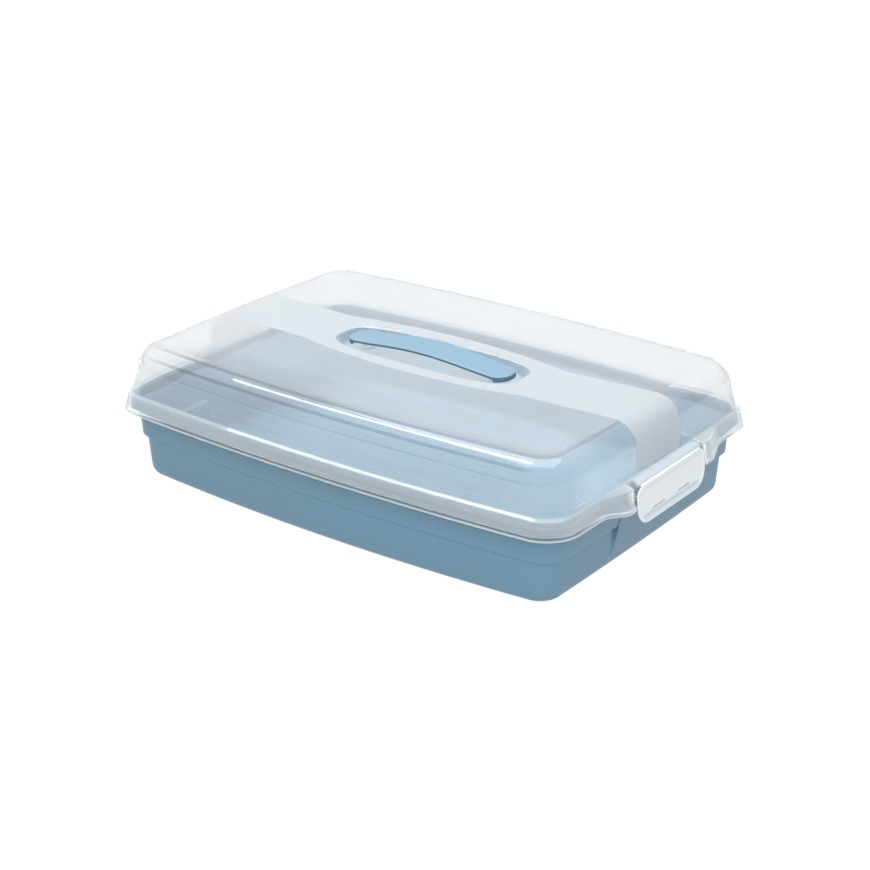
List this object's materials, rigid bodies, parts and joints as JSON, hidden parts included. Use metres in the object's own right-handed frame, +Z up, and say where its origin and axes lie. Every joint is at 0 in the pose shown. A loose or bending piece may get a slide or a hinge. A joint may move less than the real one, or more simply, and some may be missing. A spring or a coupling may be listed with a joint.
{
  "type": "cake carrier",
  "caption": "Long low cake carrier: an opaque tray, a clear lift-off lid with a recessed carrying handle, and a hinged clip on each short end.",
  "frame": {"origin": "middle of the tray's underside, on the surface it stands on", "axes": "+X along the long side towards the right clip, +Y across, towards the far long side, +Z up"},
  "size_m": [0.434, 0.295, 0.113],
  "materials": {
    "blue_plastic": "satin moulded, opaque",
    "clear_plastic": "clear and slightly milky, with one finely frosted band across it",
    "milky_plastic": "translucent white, satin"
  },
  "bodies": {
    "tray": {"tray": "blue_plastic"},
    "lid": {"lid": "clear_plastic", "handle": "blue_plastic", "right_clip_saddle": "milky_plastic", "left_clip_saddle": "milky_plastic"},
    "right_flap": {"right_clip_flap": "milky_plastic"},
    "left_flap": {"left_clip_flap": "milky_plastic"}
  },
  "joints": [
    {"name": "lid_lift", "type": "slide", "parent": "tray", "child": "lid", "axis": [0, 0, 1], "range_m": [0, 0.12]},
    {"name": "right_clip", "type": "hinge", "parent": "lid", "child": "right_flap", "pos_m": [0.2132, 0, 0.0691], "axis": [0, -1, 0], "range_deg": [0, 115]},
    {"name": "left_clip", "type": "hinge", "parent": "lid", "child": "left_flap", "pos_m": [-0.2132, 0, 0.0691], "axis": [0, 1, 0], "range_deg": [0, 115]}
  ]
}
